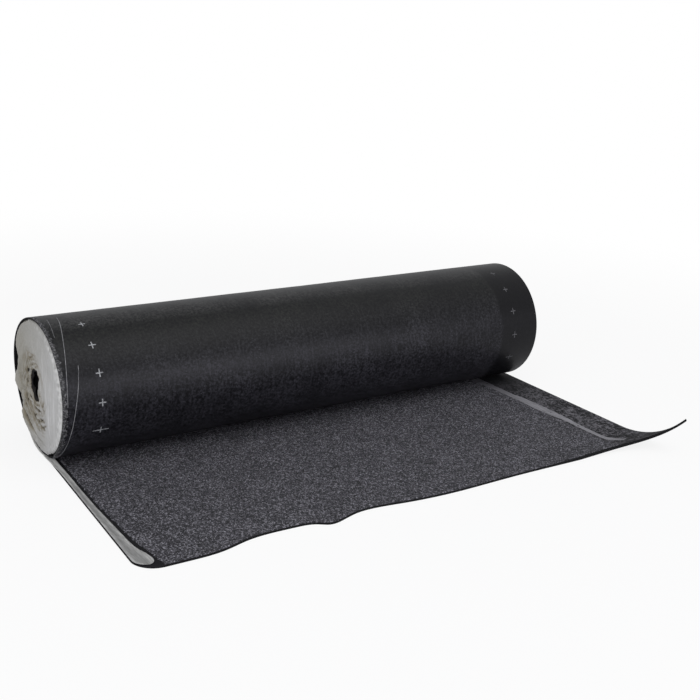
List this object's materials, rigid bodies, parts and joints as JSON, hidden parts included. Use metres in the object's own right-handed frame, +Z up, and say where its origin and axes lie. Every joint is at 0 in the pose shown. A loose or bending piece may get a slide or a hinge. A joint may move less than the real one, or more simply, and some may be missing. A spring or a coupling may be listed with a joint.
{
  "type": "roll of roofing felt",
  "caption": "Roll of mineral-surfaced roofing felt lying on its side, with a length of the sheet laid out in front of it.",
  "frame": {"origin": "on the floor, straight under the middle of the coil's axis", "axes": "+X along the coil's axis, from the film-covered end to the selvedge end; +Z up; the laid-out sheet runs towards -Y"},
  "size_m": [1.0349, 0.6332, 0.2356],
  "materials": {
    "felt": "bitumen sheet with dark mineral granules on one face and smooth black film on the other",
    "film": "pale grey crumpled film"
  },
  "bodies": {
    "root": {"felt_roll": "felt", "edge_film": "film", "end_film": "film"}
  },
  "joints": []
}
